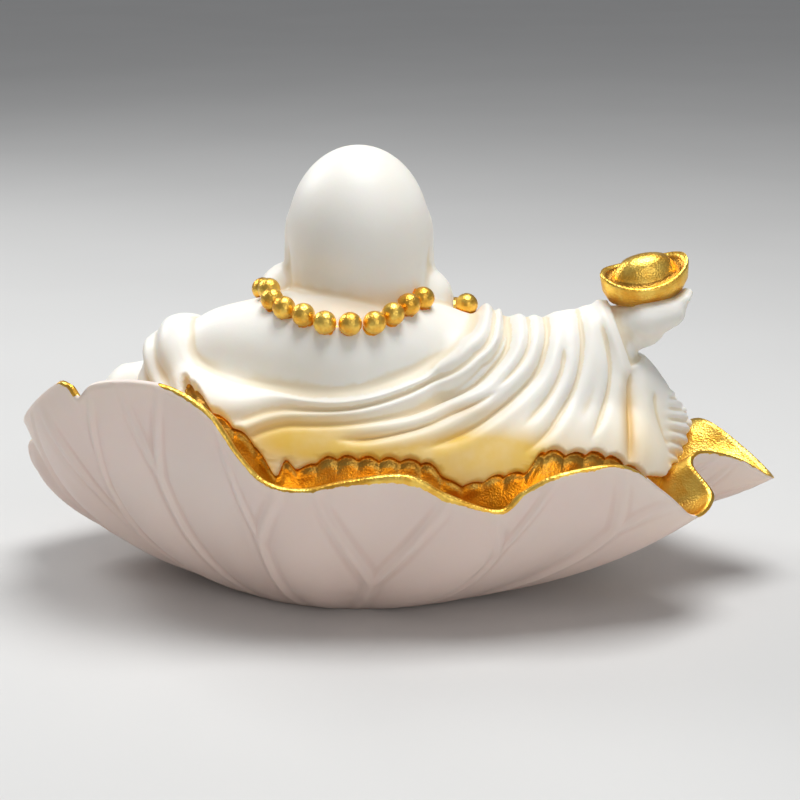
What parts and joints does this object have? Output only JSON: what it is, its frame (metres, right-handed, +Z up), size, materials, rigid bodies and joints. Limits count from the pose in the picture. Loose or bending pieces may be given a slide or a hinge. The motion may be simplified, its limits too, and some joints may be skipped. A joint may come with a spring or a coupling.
{
  "type": "laughing buddha statue",
  "caption": "Plump robed figure seated in a curled lotus leaf with a wavy rim, wearing a bead necklace and raising an ingot on one open palm, cast in one piece on a flat foot.",
  "frame": {"origin": "on the flat underside of the leaf, 8 mm from the middle of the flat towards the figure's right hand", "axes": "+X towards the figure's left along the leaf's length, +Z up, the figure faces -Y"},
  "size_m": [0.1574, 0.084, 0.0904],
  "materials": {
    "ivory_resin": "satin ivory-coloured resin, gold paint on the necklace, the ingot and the inside of the leaf, pale yellow shading on the lower robe"
  },
  "bodies": {
    "root": {"laughing_buddha_statue": "ivory_resin"}
  },
  "joints": []
}
